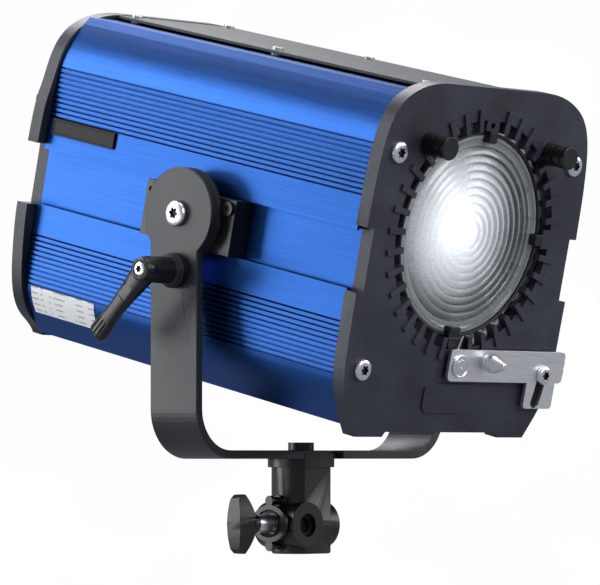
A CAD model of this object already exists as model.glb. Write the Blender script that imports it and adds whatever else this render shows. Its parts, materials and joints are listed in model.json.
import json
import math
import bpy
from mathutils import Matrix, Vector


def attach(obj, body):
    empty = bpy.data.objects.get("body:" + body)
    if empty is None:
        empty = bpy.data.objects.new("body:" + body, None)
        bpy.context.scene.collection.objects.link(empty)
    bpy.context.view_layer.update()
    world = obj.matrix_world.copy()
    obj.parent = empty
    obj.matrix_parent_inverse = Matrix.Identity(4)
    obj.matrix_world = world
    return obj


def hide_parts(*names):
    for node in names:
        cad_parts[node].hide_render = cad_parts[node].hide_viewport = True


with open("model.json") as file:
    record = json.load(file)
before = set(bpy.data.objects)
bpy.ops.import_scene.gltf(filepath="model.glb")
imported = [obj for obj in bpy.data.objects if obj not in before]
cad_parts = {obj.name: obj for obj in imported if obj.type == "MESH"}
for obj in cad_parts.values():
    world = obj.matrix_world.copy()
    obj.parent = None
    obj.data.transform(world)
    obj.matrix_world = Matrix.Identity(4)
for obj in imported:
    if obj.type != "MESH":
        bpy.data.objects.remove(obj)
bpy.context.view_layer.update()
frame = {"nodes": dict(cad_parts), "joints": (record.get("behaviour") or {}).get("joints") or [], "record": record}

mm = 0.001
nodes = frame["nodes"]
record = frame["record"]
jointByName = {j["name"]: j for j in frame["joints"]}
bodyOfNode = {n: b for b, members in record["behaviour"]["bodies"].items() for n in members}
slotOfNode = {s["node"]: s["material_slot"] for s in record["subparts"]}

# the head's own axes: its pivot and how far it is tipped at rest
pivot = Vector(jointByName["tilt"]["pos_m"])
headX = Vector(jointByName["balance"]["axis"])
headTilt = math.atan2(-headX.z, headX.x)
headMatrix = Matrix.Translation(pivot) @ Matrix.Rotation(headTilt, 4, "Y")
lensMiddle = Vector((0.1158, 0, 0.015))


def hexColor(text):
    def linear(v):
        return v / 12.92 if v <= 0.04045 else ((v + 0.055) / 1.055) ** 2.4
    values = [int(text[i:i + 2], 16) / 255 for i in (1, 3, 5)]
    return (*[linear(v) for v in values], 1.0)


def addNode(tree, kind, settings=None, links=None, **props):
    made = tree.nodes.new(kind)
    for key, value in props.items():
        setattr(made, key, value)
    for key, value in (settings or {}).items():
        made.inputs[key].default_value = value
    for key, (source, output) in (links or {}).items():
        tree.links.new(source.outputs[output], made.inputs[key])
    return made


def ramp(tree, source, output, stops):
    made = addNode(tree, "ShaderNodeValToRGB", links={"Fac": (source, output)})
    elements = made.color_ramp.elements
    while len(elements) < len(stops):
        elements.new(0.5)
    for element, (place, color) in zip(elements, stops):
        element.position = place
        element.color = color if len(color) == 4 else (*color, 1)
    return made


def gray(v):
    return (v, v, v, 1)


def newMaterial(name):
    made = bpy.data.materials.new(name)
    made.use_nodes = True
    tree = made.node_tree
    shader = tree.nodes["Principled BSDF"]
    return made, tree, shader


def headCoordinates(tree, scale):
    # object coordinates turned so X runs along the extrusion, then scaled in 1/m
    coords = addNode(tree, "ShaderNodeTexCoord")
    turned = addNode(tree, "ShaderNodeMapping", {"Rotation": (0, -headTilt, 0)},
                     {"Vector": (coords, "Object")})
    return addNode(tree, "ShaderNodeMapping", {"Scale": scale}, {"Vector": (turned, "Vector")})


def anodisedAluminium():
    # extruded aluminium, etched and dyed blue: deep colour, satin gloss, faint streaks along the extrusion
    made, tree, shader = newMaterial("anodisedAluminiumBlue")
    shader.inputs["Metallic"].default_value = 0.92
    shader.inputs["Specular IOR Level"].default_value = 0.5
    streaks = addNode(tree, "ShaderNodeTexNoise", {"Scale": 1.0, "Detail": 3.0, "Roughness": 0.6},
                      {"Vector": (headCoordinates(tree, (18, 1400, 1400)), "Vector")})
    grain = addNode(tree, "ShaderNodeTexNoise", {"Scale": 2600.0, "Detail": 2.0},
                    {"Vector": (addNode(tree, "ShaderNodeTexCoord"), "Object")})
    color = ramp(tree, streaks, "Fac", [(0.3, hexColor("#1d4689")), (0.7, hexColor("#26549c"))])
    # the narrow grooves between the ribs stay nearly black
    nook = addNode(tree, "ShaderNodeAmbientOcclusion", {"Distance": 0.003}, samples=6)
    depth = addNode(tree, "ShaderNodeMapRange", {"From Min": 0.35, "From Max": 0.85}, {"Value": (nook, "AO")})
    shaded = addNode(tree, "ShaderNodeMix", data_type="RGBA", links={"Factor": (depth, "Result")})
    shaded.inputs[6].default_value = hexColor("#050b1e")
    tree.links.new(color.outputs["Color"], shaded.inputs[7])
    tree.links.new(shaded.outputs[2], shader.inputs["Base Color"])
    rough = addNode(tree, "ShaderNodeMapRange", {"To Min": 0.30, "To Max": 0.40},
                    {"Value": (streaks, "Fac")})
    tree.links.new(rough.outputs["Result"], shader.inputs["Roughness"])
    bump = addNode(tree, "ShaderNodeBump", {"Strength": 0.05, "Distance": 0.0002},
                   {"Height": (grain, "Fac")})
    tree.links.new(bump.outputs["Normal"], shader.inputs["Normal"])
    return made


def powderCoat(name, low, high, roughness, grainMm, strength):
    # baked powder paint on metal: pebbles of the given size, soft broad shine
    made, tree, shader = newMaterial(name)
    coords = addNode(tree, "ShaderNodeTexCoord")
    pebble = addNode(tree, "ShaderNodeTexNoise", {"Scale": 1000 / grainMm, "Detail": 3.0, "Roughness": 0.55},
                     {"Vector": (coords, "Object")})
    broad = addNode(tree, "ShaderNodeTexNoise", {"Scale": 28.0, "Detail": 2.0},
                    {"Vector": (coords, "Object")})
    blend = addNode(tree, "ShaderNodeMath", {1: 0.5}, {0: (pebble, "Fac")}, operation="MULTIPLY")
    total = addNode(tree, "ShaderNodeMath", links={0: (blend, "Value"), 1: (broad, "Fac")}, operation="ADD")
    color = ramp(tree, total, "Value", [(0.55, hexColor(low)), (0.95, hexColor(high))])
    tree.links.new(color.outputs["Color"], shader.inputs["Base Color"])
    rough = addNode(tree, "ShaderNodeMapRange", {"To Min": roughness - 0.06, "To Max": roughness + 0.08},
                    {"Value": (broad, "Fac")})
    tree.links.new(rough.outputs["Result"], shader.inputs["Roughness"])
    edge = addNode(tree, "ShaderNodeBevel", {"Radius": 0.0004}, samples=4)
    bump = addNode(tree, "ShaderNodeBump", {"Strength": strength, "Distance": 0.0003},
                   {"Height": (pebble, "Fac"), "Normal": (edge, "Normal")})
    tree.links.new(bump.outputs["Normal"], shader.inputs["Normal"])
    return made


def perforatedCover():
    # powder-coated sheet with rows of holes about 1.6 mm wide, 3.6 mm apart, as dark dots
    made = powderCoat("powderCoatedPerforatedSheet", "#23262c", "#31353b", 0.45, 0.5, 0.15)
    tree = made.node_tree
    shader = tree.nodes["Principled BSDF"]
    place = headCoordinates(tree, (1 / 0.0036, 1 / 0.0036, 1 / 0.0036))
    parts = addNode(tree, "ShaderNodeSeparateXYZ", links={"Vector": (place, "Vector")})
    flat = addNode(tree, "ShaderNodeCombineXYZ", links={"X": (parts, "X"), "Y": (parts, "Y")})
    cells = addNode(tree, "ShaderNodeTexVoronoi", {"Scale": 1.0, "Randomness": 0.0},
                    {"Vector": (flat, "Vector")}, voronoi_dimensions="2D")
    hole = addNode(tree, "ShaderNodeMapRange", {"From Min": 0.20, "From Max": 0.26},
                   {"Value": (cells, "Distance")})
    old = shader.inputs["Base Color"].links[0].from_socket
    mixed = addNode(tree, "ShaderNodeMix", data_type="RGBA")
    tree.links.new(hole.outputs["Result"], mixed.inputs["Factor"])
    tree.links.new(old, mixed.inputs[7])
    mixed.inputs[6].default_value = hexColor("#131417")
    tree.links.new(mixed.outputs[2], shader.inputs["Base Color"])
    return made


def platedSteel(name, low, high, roughness, streakScale=(900, 900, 900)):
    # bright metal: fine random scratches in the shine, faint tone changes
    made, tree, shader = newMaterial(name)
    shader.inputs["Metallic"].default_value = 1.0
    fine = addNode(tree, "ShaderNodeTexNoise", {"Scale": 1.0, "Detail": 4.0, "Roughness": 0.7},
                   {"Vector": (headCoordinates(tree, streakScale), "Vector")})
    color = ramp(tree, fine, "Fac", [(0.3, hexColor(low)), (0.7, hexColor(high))])
    tree.links.new(color.outputs["Color"], shader.inputs["Base Color"])
    rough = addNode(tree, "ShaderNodeMapRange", {"To Min": roughness - 0.07, "To Max": roughness + 0.08},
                    {"Value": (fine, "Fac")})
    tree.links.new(rough.outputs["Result"], shader.inputs["Roughness"])
    edge = addNode(tree, "ShaderNodeBevel", {"Radius": 0.00025}, samples=4)
    tree.links.new(edge.outputs["Normal"], shader.inputs["Normal"])
    return made


def mouldedPlastic(name, low, high, roughness):
    # glass-filled nylon or ABS from a spark-eroded mould: matt grain of about 0.4 mm
    made, tree, shader = newMaterial(name)
    coords = addNode(tree, "ShaderNodeTexCoord")
    grain = addNode(tree, "ShaderNodeTexNoise", {"Scale": 1000 / 0.4, "Detail": 2.0},
                    {"Vector": (coords, "Object")})
    color = ramp(tree, grain, "Fac", [(0.35, hexColor(low)), (0.7, hexColor(high))])
    tree.links.new(color.outputs["Color"], shader.inputs["Base Color"])
    shader.inputs["Roughness"].default_value = roughness
    edge = addNode(tree, "ShaderNodeBevel", {"Radius": 0.0003}, samples=4)
    bump = addNode(tree, "ShaderNodeBump", {"Strength": 0.12, "Distance": 0.0002},
                   {"Height": (grain, "Fac"), "Normal": (edge, "Normal")})
    tree.links.new(bump.outputs["Normal"], shader.inputs["Normal"])
    return made


def lensGlass():
    # pressed borosilicate: clear prism rings in front of a stippled, hazy back that glows at the middle
    made, tree, shader = newMaterial("pressedBorosilicateGlass")
    coords = addNode(tree, "ShaderNodeTexCoord")
    centre = headMatrix @ lensMiddle
    shift = -(Matrix.Rotation(-headTilt, 3, "Y") @ centre)
    local = addNode(tree, "ShaderNodeMapping", {"Location": shift, "Rotation": (0, -headTilt, 0)},
                    {"Vector": (coords, "Object")})
    parts = addNode(tree, "ShaderNodeSeparateXYZ", links={"Vector": (local, "Vector")})
    flat = addNode(tree, "ShaderNodeCombineXYZ", links={"Y": (parts, "Y"), "Z": (parts, "Z")})
    shifted = addNode(tree, "ShaderNodeVectorMath", {1: (0, 0.008, -0.004)}, {0: (flat, "Vector")},
                      operation="ADD")
    radius = addNode(tree, "ShaderNodeVectorMath", links={0: (shifted, "Vector")}, operation="LENGTH")
    stipple = addNode(tree, "ShaderNodeTexNoise", {"Scale": 900.0, "Detail": 2.0, "Roughness": 0.6},
                      {"Vector": (local, "Vector")})
    wobble = addNode(tree, "ShaderNodeMath", {1: 0.014}, {0: (stipple, "Fac")}, operation="MULTIPLY")
    reach = addNode(tree, "ShaderNodeMath", links={0: (radius, "Value"), 1: (wobble, "Value")},
                    operation="ADD")
    haze = ramp(tree, reach, "Value", [(0.0, gray(1)), (0.014, gray(0.95)), (0.024, gray(0.72)),
                                       (0.042, gray(0.52)), (0.060, gray(0.28))])
    # each prism's riser catches the light as a thin line, one every 4.2 mm
    straight = addNode(tree, "ShaderNodeVectorMath", links={0: (flat, "Vector")}, operation="LENGTH")
    offset = addNode(tree, "ShaderNodeMath", {1: -0.0082}, {0: (straight, "Value")}, operation="ADD")
    turns = addNode(tree, "ShaderNodeMath", {1: 1 / 0.0042}, {0: (offset, "Value")}, operation="MULTIPLY")
    within = addNode(tree, "ShaderNodeMath", links={0: (turns, "Value")}, operation="FRACT")
    bands = ramp(tree, within, "Value", [(0.0, gray(0.25)), (0.16, gray(1.0)), (0.30, gray(0.72)),
                                         (0.80, gray(0.5)), (0.93, gray(0.12))])
    tint = addNode(tree, "ShaderNodeMix", data_type="RGBA", links={"Factor": (haze, "Color")})
    tint.inputs[6].default_value = hexColor("#8e969d")
    tint.inputs[7].default_value = hexColor("#f6f8fb")
    lined = addNode(tree, "ShaderNodeMix", {"Factor": 0.55}, data_type="RGBA", blend_type="MULTIPLY")
    tree.links.new(tint.outputs[2], lined.inputs[6])
    tree.links.new(bands.outputs["Color"], lined.inputs[7])
    tree.links.new(lined.outputs[2], shader.inputs["Base Color"])
    shader.inputs["Roughness"].default_value = 0.07
    shader.inputs["IOR"].default_value = 1.47
    clear = addNode(tree, "ShaderNodeMapRange", {"To Min": 0.86, "To Max": 0.1},
                    {"Value": (haze, "Color")})
    tree.links.new(clear.outputs["Result"], shader.inputs["Transmission Weight"])
    shader.inputs["Emission Color"].default_value = hexColor("#f4f8ff")
    glow = addNode(tree, "ShaderNodeMapRange", {"From Min": 0.45, "To Min": 0.0, "To Max": 0.75},
                   {"Value": (haze, "Color")})
    tree.links.new(glow.outputs["Result"], shader.inputs["Emission Strength"])
    bump = addNode(tree, "ShaderNodeBump", {"Strength": 0.25, "Distance": 0.0003},
                   {"Height": (stipple, "Fac")})
    tree.links.new(bump.outputs["Normal"], shader.inputs["Normal"])
    return made


def printedFilm():
    # white polyester label with plain grey rules where printing would be
    made, tree, shader = newMaterial("polyesterLabelFilm")
    place = headCoordinates(tree, (1, 1, 1))
    parts = addNode(tree, "ShaderNodeSeparateXYZ", links={"Vector": (place, "Vector")})
    lines = addNode(tree, "ShaderNodeMath", {1: 1 / 0.0031}, {0: (parts, "Z")}, operation="MULTIPLY")
    part = addNode(tree, "ShaderNodeMath", links={0: (lines, "Value")}, operation="FRACT")
    rule = addNode(tree, "ShaderNodeMath", {1: 0.26}, {0: (part, "Value")}, operation="LESS_THAN")
    words = addNode(tree, "ShaderNodeTexNoise", {"Scale": 240.0, "Detail": 1.0},
                    {"Vector": (headCoordinates(tree, (1, 0.02, 0.2)), "Vector")})
    broken = addNode(tree, "ShaderNodeMath", {1: 0.47}, {0: (words, "Fac")}, operation="GREATER_THAN")
    both = addNode(tree, "ShaderNodeMath", links={0: (rule, "Value"), 1: (broken, "Value")},
                   operation="MULTIPLY")
    soft = addNode(tree, "ShaderNodeMath", {1: 0.55}, {0: (both, "Value")}, operation="MULTIPLY")
    mixed = addNode(tree, "ShaderNodeMix", data_type="RGBA", links={"Factor": (soft, "Value")})
    mixed.inputs[6].default_value = hexColor("#eef0f3")
    mixed.inputs[7].default_value = hexColor("#5d6470")
    tree.links.new(mixed.outputs[2], shader.inputs["Base Color"])
    shader.inputs["Roughness"].default_value = 0.35
    return made


def speckled(name, low, high, roughness, scale, metallic=0.0, specular=0.5):
    made, tree, shader = newMaterial(name)
    shader.inputs["Metallic"].default_value = metallic
    shader.inputs["Specular IOR Level"].default_value = specular
    coords = addNode(tree, "ShaderNodeTexCoord")
    fine = addNode(tree, "ShaderNodeTexNoise", {"Scale": scale, "Detail": 3.0},
                   {"Vector": (coords, "Object")})
    color = ramp(tree, fine, "Fac", [(0.35, hexColor(low)), (0.65, hexColor(high))])
    tree.links.new(color.outputs["Color"], shader.inputs["Base Color"])
    shader.inputs["Roughness"].default_value = roughness
    bump = addNode(tree, "ShaderNodeBump", {"Strength": 0.08, "Distance": 0.0002}, {"Height": (fine, "Fac")})
    tree.links.new(bump.outputs["Normal"], shader.inputs["Normal"])
    return made


finishes = {
    "blue_anodised": anodisedAluminium(),
    "black_casting": powderCoat("powderCoatedDieCasting", "#141622", "#2a2d3c", 0.42, 1.1, 0.55),
    "glossCasting": powderCoat("glossPaintedZincCasting", "#030304", "#08090c", 0.33, 1.2, 0.15),
    "yoke_paint": powderCoat("powderCoatedStripSteel", "#191b22", "#252830", 0.40, 0.6, 0.2),
    "grey_cover": perforatedCover(),
    "black_block": powderCoat("blackAnodisedBlock", "#08090a", "#101114", 0.36, 0.4, 0.1),
    "black_steel": powderCoat("blackOxideSteel", "#08090a", "#101113", 0.34, 0.4, 0.1),
    "zinc_steel": platedSteel("zincPlatedSteel", "#d3d6db", "#f0f2f5", 0.3),
    "stainless": platedSteel("brushedStainlessSteel", "#dcdee2", "#f3f4f6", 0.36, (1200, 60, 1200)),
    "lens_glass": lensGlass(),
    "white_plastic": speckled("whiteEnamelRing", "#c4c8cc", "#dfe2e5", 0.4, 900),
    "badge_metal": speckled("blackGlossEnamel", "#050608", "#0b0c10", 0.3, 300, 0.0, 0.12),
    "label_film": printedFilm(),
    "display_glass": speckled("smokedAcrylicWindow", "#050709", "#0a0d10", 0.08, 200),
    "circuit_board": speckled("solderMaskedBoard", "#0d4a25", "#146434", 0.35, 900),
    "black_plastic": mouldedPlastic("glassFilledNylonBlack", "#090a0b", "#121315", 0.36),
    "bare_aluminium": platedSteel("machinedAluminium", "#c3c6c9", "#d9dbdd", 0.34, (200, 1500, 1500)),
    "led_phosphor": speckled("silicatePhosphorYellow", "#d8b32a", "#ecd05a", 0.4, 1500),
    "friction_rubber": mouldedPlastic("bondedFibreBlack", "#101113", "#1a1b1d", 0.6),
    "recessShade": speckled("oiledSteelRecess", "#1d2026", "#2b2f37", 0.5, 1500, 0.6),
    "pad_brass": platedSteel("turnedBrass", "#b08a3c", "#c9a457", 0.3),
}
print("materials", len(finishes))


def deselectAll():
    if bpy.context.object and bpy.context.object.mode != "OBJECT":
        bpy.ops.object.mode_set(mode="OBJECT")
    bpy.ops.object.select_all(action="DESELECT")


def makeActive(piece):
    deselectAll()
    piece.select_set(True)
    bpy.context.view_layer.objects.active = piece


def smoothEdges(piece, degrees=35):
    makeActive(piece)
    bpy.ops.object.shade_smooth_by_angle(angle=math.radians(degrees))


def applyModifier(piece, kind, **settings):
    makeActive(piece)
    modifier = piece.modifiers.new(kind.lower(), kind)
    for key, value in settings.items():
        setattr(modifier, key, value)
    bpy.ops.object.modifier_apply(modifier=modifier.name)


# the stand's cast fittings are smoother than the lamp's castings
glossNodes = {"stand_socket": "glossCasting", "retainer_ring": "glossCasting", "lock_wing": "glossCasting"}


def dress(piece, node, finish=None):
    # the piece stands for a CAD node, on its body and with its slot
    if not piece.data.materials:
        piece.data.materials.append(finish or finishes[glossNodes.get(node, slotOfNode[node])])
    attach(piece, bodyOfNode[node])
    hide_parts(node)


def softenedCopy(node, widthMm, segments=2, angle=38, dissolve=True):
    # the CAD shape with its edges broken, as a casting or a pressed part has them
    piece = bpy.data.objects.new("soft_" + node, nodes[node].data.copy())
    bpy.context.scene.collection.objects.link(piece)
    makeActive(piece)
    bpy.ops.object.mode_set(mode="EDIT")
    bpy.ops.mesh.select_all(action="SELECT")
    bpy.ops.mesh.remove_doubles(threshold=0.000004)
    if dissolve:
        bpy.ops.mesh.dissolve_limited(angle_limit=math.radians(1.2))
    bpy.ops.object.mode_set(mode="OBJECT")
    piece.data.materials.clear()
    smoothEdges(piece, 30)
    applyModifier(piece, "BEVEL", width=widthMm * mm, segments=segments, limit_method="ANGLE",
                  angle_limit=math.radians(angle), use_clamp_overlap=True, harden_normals=True)
    dress(piece, node)
    return piece


def lathe(name, profile, steps=48):
    # spins a profile of (along X, radius) round the X axis, as one closed skin
    deselectAll()
    bpy.ops.mesh.primitive_plane_add(size=0.001)
    piece = bpy.context.object
    piece.name = name
    bpy.ops.object.mode_set(mode="EDIT")
    bpy.ops.mesh.select_all(action="SELECT")
    bpy.ops.mesh.merge(type="CENTER")
    last = Vector((profile[0][0], 0, profile[0][1]))
    bpy.ops.transform.translate(value=last)
    for along, radius in profile[1:]:
        point = Vector((along, 0, radius))
        bpy.ops.mesh.extrude_region_move(TRANSFORM_OT_translate={"value": point - last})
        last = point
    bpy.ops.mesh.select_all(action="SELECT")
    bpy.ops.mesh.spin(steps=steps, angle=2 * math.pi, center=(0, 0, 0), axis=(1, 0, 0))
    bpy.ops.mesh.select_all(action="SELECT")
    bpy.ops.mesh.remove_doubles(threshold=0.000002)
    bpy.ops.mesh.normals_make_consistent(inside=False)
    bpy.ops.object.mode_set(mode="OBJECT")
    return piece


def placed(piece, matrix):
    piece.data.transform(matrix)
    piece.data.update()
    return piece


def joinPieces(pieces, name):
    deselectAll()
    for piece in pieces:
        piece.select_set(True)
    bpy.context.view_layer.objects.active = pieces[0]
    if len(pieces) > 1:
        bpy.ops.object.join()
    pieces[0].name = name
    return pieces[0]


def subtract(piece, cutter):
    applyModifier(piece, "BOOLEAN", object=cutter, operation="DIFFERENCE", solver="EXACT")
    bpy.data.objects.remove(cutter)


def starCutter(radius, depth, faceX):
    # six-lobed driver recess facing +X: the valleys of a round bar are drawn in
    deselectAll()
    bpy.ops.mesh.primitive_cylinder_add(vertices=24, radius=radius, depth=2 * depth,
                                        location=(faceX, 0, 0), rotation=(0, math.pi / 2, 0))
    cutter = bpy.context.object
    bpy.ops.object.transform_apply(location=True, rotation=True, scale=True)
    for reach, offset in ((0.64, 30), (0.86, 15)):
        for part in (*cutter.data.polygons, *cutter.data.edges):
            part.select = False
        for vertex in cutter.data.vertices:
            angle = math.degrees(math.atan2(vertex.co.z, vertex.co.y)) % 60
            vertex.select = abs(angle - offset) < 3 or abs(angle - 60 + offset) < 3
        bpy.ops.object.mode_set(mode="EDIT")
        bpy.ops.mesh.select_mode(type="VERT")
        bpy.ops.transform.resize(value=(1, reach, reach), center_override=(faceX, 0, 0))
        bpy.ops.mesh.select_all(action="DESELECT")
        bpy.ops.object.mode_set(mode="OBJECT")
    return cutter


def roundBar(name, startMm, endMm, radiusMm):
    profile = [(startMm, 0), (startMm, radiusMm), (endMm, radiusMm), (endMm, 0)]
    return lathe(name, [(along * mm, radius * mm) for along, radius in profile], 32)


recessDepth = 1.4


def screwHead(name, plan):
    # domed head facing +X from its seat, with a six-lobed recess
    seat = plan["seat"] * mm
    radius = plan["radius"] * mm
    height = plan["height"] * mm
    dome = plan["dome"] * mm
    recess = plan["recess"] * mm
    top = seat + height
    profile = [(seat, 0), (seat, radius * 0.97), (seat + 0.2 * height, radius), (top - dome, radius),
               (top - 0.45 * dome, radius * 0.93), (top - 0.1 * dome, radius * 0.78),
               (top, radius * 0.6), (top, 0)]
    piece = lathe(name, profile, 40)
    subtract(piece, starCutter(recess, recessDepth * mm, top))
    piece.data.materials.append(finishes["zinc_steel"])
    piece.data.materials.append(finishes["recessShade"])
    for face in piece.data.polygons:
        out = math.hypot(face.center.y, face.center.z)
        face.material_index = 1 if out < recess and face.center.x < top - 0.00005 else 0
    smoothEdges(piece, 30)
    return piece


# how wide each casting's or plate's edges are broken, in mm
softenedWidths = {
    "front_casting": 0.7, "rear_casting": 0.9, "yoke": 0.5, "stand_socket": 0.7,
    "retainer_ring": 0.5, "pivot_blocks": 0.4, "lock_wing": 0.9, "lens_clips": 0.25,
    "badge_plate": 0.25, "top_cover": 0.25, "focus_knob": 0.4, "dimmer_knob": 0.4,
}
for node, width in softenedWidths.items():
    softenedCopy(node, width, dissolve=node != "yoke")
print("softened edges")

lensPlan = {
    "rings": 9, "inner": 8.2, "pitch": 4.2, "edge": 52.2, "front": 115.8, "back": 109.5, "step": 2.3,
    "chamfer": 0.4,
    # clear rim: behind the front, in from the edge
    "rim": [(0.9, 0), (0.4, 0.6), (0.4, 2.2), (0.9, 3.0), (1.1, 5.8)],
    # one prism: share of the step behind the front, in from the ring's outside
    "slope": [(1.0, 0.2), (0.62, 1.1), (0.30, 2.2), (0.10, 3.2)],
    # its crest: behind the front, out from the ring's inside
    "crest": [(0.1, 0.4), (0.3, 0.1)],
    # middle dome: share of the step behind the front, radius
    "dome": [(0.9, 8.2), (0.5, 6.6), (0.2, 4.2)],
    "flat": (0.1, 1.6),
}


def makeLens(plan):
    # dome in the middle, then prism rings: a steep riser and a long curved slope each, and a flat clear rim
    front = plan["front"] * mm
    back = plan["back"] * mm
    edge = plan["edge"] * mm
    step = plan["step"] * mm
    chamfer = plan["chamfer"] * mm
    profile = [(back, 0), (back, edge - chamfer), (back + chamfer, edge)]
    profile += [(front - behind * mm, edge - inset * mm) for behind, inset in plan["rim"]]
    for i in reversed(range(plan["rings"])):
        inside = (plan["inner"] + i * plan["pitch"]) * mm
        outside = inside + plan["pitch"] * mm
        profile += [(front - share * step, outside - inset * mm) for share, inset in plan["slope"]]
        profile += [(front - behind * mm, inside + offset * mm) for behind, offset in plan["crest"]]
    profile += [(front - share * step, radius * mm) for share, radius in plan["dome"]]
    behind, radius = plan["flat"]
    profile += [(front - behind * mm, radius * mm), (front - behind * mm, 0)]
    piece = placed(lathe("fresnelLens", profile, 96), Matrix.Translation((0, 0, lensMiddle.z)))
    smoothEdges(piece, 30)
    placed(piece, headMatrix)
    dress(piece, "fresnel_lens")


makeLens(lensPlan)

gasketPlan = {"inner": 52.3, "outer": 53.9, "back": 109.9, "front": 116.4, "lip": 0.4}


def makeGasket(plan):
    # black silicone ring that the lens sits in
    inner, outer, back, front, lip = plan.values()
    profile = [(back, inner), (front - lip, inner), (front, inner + lip), (front, outer - lip),
               (front - lip, outer), (back, outer), (back, inner)]
    piece = lathe("lensGasket", [(along * mm, radius * mm) for along, radius in profile], 96)
    placed(piece, headMatrix @ Matrix.Translation((0, 0, lensMiddle.z)))
    smoothEdges(piece, 40)
    piece.data.materials.append(finishes["friction_rubber"])
    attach(piece, bodyOfNode["fresnel_lens"])


makeGasket(gasketPlan)
print("lens")

frontFace = 118.8
screwPlan = {
    "places": [(69, 55), (-69, 55), (-69, -56.7)],
    "seat": frontFace, "radius": 5.6, "height": 2.6, "dome": 1.3, "recess": 2.9,
}


def makeFrontScrews(plan):
    made = []
    for y, z in plan["places"]:
        head = screwHead("frontScrew", plan)
        made.append(placed(head, Matrix.Translation((0, y * mm, z * mm))))
    piece = placed(joinPieces(made, "frontScrewHeads"), headMatrix)
    dress(piece, "front_screws")


makeFrontScrews(screwPlan)

# the neck reaches a little into the head
guidePlan = {
    "place": (69, -56.7), "neckEnd": 123.1, "neckRadius": 2.7,
    "seat": 123.0, "radius": 5.0, "height": 2.6, "dome": 1.4, "recess": 2.7,
}


def makeGuideScrew(plan):
    y, z = plan["place"]
    head = screwHead("guideScrewHead", plan)
    neck = roundBar("guideScrewNeck", frontFace, plan["neckEnd"], plan["neckRadius"])
    piece = joinPieces([head, neck], "latchGuideScrew")
    placed(piece, headMatrix @ Matrix.Translation((0, y * mm, z * mm)))
    dress(piece, "latch_guide_screw")


makeGuideScrew(guidePlan)

boltPlan = {
    "shankStart": 80.0, "shankEnd": 97.1, "shankRadius": 3.98,
    "seat": 97.0, "radius": 6.8, "height": 3.4, "dome": 1.6, "recess": 3.3,
}


def makePivotBolts(plan):
    made = []
    for side in (-1, 1):
        head = screwHead("pivotBoltHead", plan)
        shank = roundBar("pivotBoltShank", plan["shankStart"], plan["shankEnd"], plan["shankRadius"])
        piece = joinPieces([head, shank], "pivotBolt")
        turn = Matrix.Rotation(side * math.pi / 2, 4, "Z")
        made.append(placed(piece, turn))
    piece = placed(joinPieces(made, "pivotBolts"), headMatrix)
    dress(piece, "pivot_bolts")


makePivotBolts(boltPlan)
print("screws")

leverPlan = {
    "axis": (2.0, 148.0), "direction": 222.7, "outward": 118.6,
    # along the handle, half width, half thickness, outward lean of the middle
    "stations": [(-6.4, 3.2, 2.6, 0.0), (-5.0, 5.4, 4.0, 0.0), (0, 6.8, 4.6, 0.0), (6, 6.7, 4.4, 0.1),
                 (14, 5.7, 3.8, 0.3), (24, 4.7, 3.2, 0.5), (32, 4.5, 3.0, 0.6), (38, 5.0, 3.2, 0.6),
                 (43, 5.7, 3.5, 0.6), (47, 5.9, 3.4, 0.6), (48.6, 5.3, 3.0, 0.6), (49.3, 3.6, 1.8, 0.6)],
    # cuts are measured down from the outer face, by a cutter of this thickness
    "face": 4.0, "cutter": 6.0,
    "grooves": {"from": 37.5, "to": 47.6, "offsets": (-2.6, 0.0, 2.6), "width": 0.9, "depth": 0.9},
    "recess": {"middle": 16.5, "length": 9.0, "width": 6.0, "depth": 0.5},
    # along the stud, radius
    "hub": [(99.0, 4.2), (99.0, 9.2), (100.8, 9.2), (101.2, 8.6), (102.4, 8.4), (103.4, 7.1),
            (114.4, 6.8), (121.0, 6.6), (123.2, 6.0), (123.7, 5.2), (123.7, 4.4), (122.2, 4.4),
            (122.2, 2.1), (121.5, 2.1)],
    "screw": {"seat": 122.3, "radius": 3.9, "height": 2.0, "dome": 1.0, "recess": 2.1},
}


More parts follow.
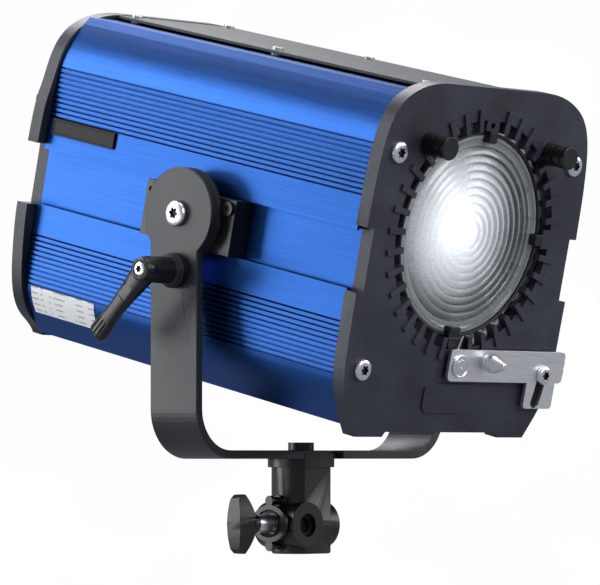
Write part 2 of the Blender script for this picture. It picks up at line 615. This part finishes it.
def makeLever(plan):
    axisX, axisZ = plan["axis"]
    deselectAll()
    # section in the YZ plane, pushed out along +X station by station
    bpy.ops.mesh.primitive_circle_add(vertices=20, radius=1, fill_type="NGON", rotation=(0, math.pi / 2, 0))
    handle = bpy.context.object
    bpy.ops.object.transform_apply(location=True, rotation=True, scale=True)
    first = plan["stations"][0]
    for vertex in handle.data.vertices:
        y, z = vertex.co.y, vertex.co.z
        square = (abs(y) ** 3 + abs(z) ** 3) ** (1 / 3)
        vertex.co = (first[0] * mm, y / square * first[2] * mm, z / square * first[1] * mm)
    bpy.ops.object.mode_set(mode="EDIT")
    bpy.ops.mesh.select_all(action="SELECT")
    before = first
    for station in plan["stations"][1:]:
        bpy.ops.mesh.extrude_region_move(TRANSFORM_OT_translate={
            "value": ((station[0] - before[0]) * mm, -(station[3] - before[3]) * mm, 0)})
        bpy.ops.transform.resize(value=(1, station[2] / before[2], station[1] / before[1]),
                                 center_override=(station[0] * mm, -station[3] * mm, 0))
        before = station
    bpy.ops.mesh.select_all(action="SELECT")
    bpy.ops.mesh.normals_make_consistent(inside=False)
    bpy.ops.object.mode_set(mode="OBJECT")
    applyModifier(handle, "SUBSURF", levels=1, render_levels=1)
    grooves, recess = plan["grooves"], plan["recess"]
    face, thick = plan["face"], plan["cutter"]
    length = grooves["to"] - grooves["from"]
    middle = (grooves["from"] + grooves["to"]) / 2
    cuts = [(middle, z, length, grooves["width"], face - grooves["depth"]) for z in grooves["offsets"]]
    cuts.append((recess["middle"], 0, recess["length"], recess["width"], face - recess["depth"]))
    for along, side, long, wide, bottom in cuts:
        deselectAll()
        bpy.ops.mesh.primitive_cube_add(size=1, location=(along * mm, -(bottom + thick / 2) * mm, side * mm),
                                        scale=(long * mm, thick * mm, wide * mm))
        cutter = bpy.context.object
        bpy.ops.object.transform_apply(location=True, rotation=True, scale=True)
        subtract(handle, cutter)
    angle = math.radians(plan["direction"])
    spot = Matrix.Translation((axisX * mm, -plan["outward"] * mm, axisZ * mm))
    placed(handle, spot @ Matrix.Rotation(-angle, 4, "Y"))
    # +X of the turned pieces points out along the stud
    onStud = Matrix.Translation((axisX * mm, 0, axisZ * mm)) @ Matrix.Rotation(-math.pi / 2, 4, "Z")
    hub = placed(lathe("leverHub", [(out * mm, radius * mm) for out, radius in plan["hub"]], 48), onStud)
    piece = joinPieces([handle, hub], "clampLever")
    smoothEdges(piece, 40)
    dress(piece, "lever_handle")
    screw = placed(screwHead("leverElbowScrew", plan["screw"]), onStud)
    dress(screw, "lever_screw")


makeLever(leverPlan)
print("lever")


# the CAD nodes take their finishes too
for name, obj in nodes.items():
    for slot in obj.material_slots:
        slot.link = "OBJECT"
        slot.material = finishes[glossNodes.get(name, slotOfNode[name])]

stagePlan = {"floor": -0.34, "radius": 4.5, "curve": 1.6, "height": 5.0, "glow": 1.0}


def makeCove(plan):
    # seamless paper floor that curves up into a wall all the way round, under a shallow roof
    deselectAll()
    floor, radius, curve = plan["floor"], plan["radius"], plan["curve"]
    points = [(0.0, floor), (radius - curve, floor)]
    for i in range(1, 9):
        turn = math.radians(90 * i / 8)
        points.append((radius - curve + curve * math.sin(turn), floor + curve * (1 - math.cos(turn))))
    points += [(radius, plan["height"]), (0.0, plan["height"] + 0.6)]
    bpy.ops.mesh.primitive_plane_add(size=0.001)
    cove = bpy.context.object
    cove.name = "seamlessPaperCove"
    bpy.ops.object.mode_set(mode="EDIT")
    bpy.ops.mesh.select_all(action="SELECT")
    bpy.ops.mesh.merge(type="CENTER")
    last = Vector((points[0][0], 0, points[0][1]))
    bpy.ops.transform.translate(value=last)
    for out, up in points[1:]:
        point = Vector((out, 0, up))
        bpy.ops.mesh.extrude_region_move(TRANSFORM_OT_translate={"value": point - last})
        last = point
    bpy.ops.mesh.select_all(action="SELECT")
    bpy.ops.mesh.spin(steps=96, angle=2 * math.pi, center=(0, 0, 0), axis=(0, 0, 1))
    bpy.ops.mesh.select_all(action="SELECT")
    bpy.ops.mesh.remove_doubles(threshold=0.0001)
    bpy.ops.object.mode_set(mode="OBJECT")
    bpy.ops.object.shade_smooth()
    made, tree, shader = newMaterial("backlitStudioPaper")
    coords = addNode(tree, "ShaderNodeTexCoord")
    fine = addNode(tree, "ShaderNodeTexNoise", {"Scale": 2.0}, {"Vector": (coords, "Object")})
    color = ramp(tree, fine, "Fac", [(0.4, hexColor("#fcfcfd")), (0.6, hexColor("#ffffff"))])
    tree.links.new(color.outputs["Color"], shader.inputs["Emission Color"])
    shader.inputs["Emission Strength"].default_value = plan["glow"]
    shader.inputs["Base Color"].default_value = hexColor("#101010")
    shader.inputs["Roughness"].default_value = 1.0
    cove.data.materials.append(made)
    # it only shows behind the object, which the lamps and the pale world light
    cove.visible_diffuse = False
    cove.visible_glossy = False
    cove.visible_shadow = False


makeCove(stagePlan)

lights = {
    "keyLeft": {"place": (-1.3, -1.25, 1.15), "size": (0.9, 0.8), "power": 15},
    "sideLeft": {"place": (-1.35, -1.15, 0.2), "size": (0.7, 0.7), "power": 9},
    "stripBack": {"place": (-0.95, 0.5, 1.45), "size": (1.2, 0.7), "power": 20},
    "frontFill": {"place": (1.9, 0.15, 0.95), "size": (0.9, 0.9), "power": 20},
    "farSide": {"place": (1.25, 1.5, 0.75), "size": (0.8, 0.8), "power": 9},
    "topSoft": {"place": (0.4, 0.1, 1.8), "size": (0.9, 0.9), "power": 12},
    "lowLeft": {"place": (-0.6, -1.8, -0.2), "size": (0.8, 0.5), "power": 3},
}
aim = Vector((0.02, 0, 0.17))
for name, plan in lights.items():
    data = bpy.data.lights.new(name, "AREA")
    data.shape = "RECTANGLE"
    data.size, data.size_y = plan["size"]
    data.energy = plan["power"]
    lamp = bpy.data.objects.new(name, data)
    lamp.location = plan["place"]
    lamp.rotation_euler = (aim - Vector(plan["place"])).to_track_quat("-Z", "Y").to_euler()
    bpy.context.scene.collection.objects.link(lamp)

world = bpy.data.worlds.new("paleRoom")
bpy.context.scene.world = world
world.use_nodes = True
background = world.node_tree.nodes["Background"]
background.inputs["Color"].default_value = (0.9, 0.94, 1.0, 1)
background.inputs["Strength"].default_value = 0.35
bpy.context.scene.view_settings.view_transform = "Standard"

cameraPlan = {"place": (1.5160, -1.6227, 0.05284), "azimuth": 43.067, "upward": 2.233, "lens": 249.13}


def makeCamera(plan):
    deselectAll()
    turn = (math.radians(90 + plan["upward"]), 0, math.radians(plan["azimuth"]))
    bpy.ops.object.camera_add(location=plan["place"], rotation=turn)
    camera = bpy.context.object
    camera.name = "studioCamera"
    camera.data.sensor_width = 36
    camera.data.lens = plan["lens"]
    camera.data.clip_start = 0.05
    camera.data.clip_end = 60
    bpy.context.scene.camera = camera


makeCamera(cameraPlan)
print("stage and camera")
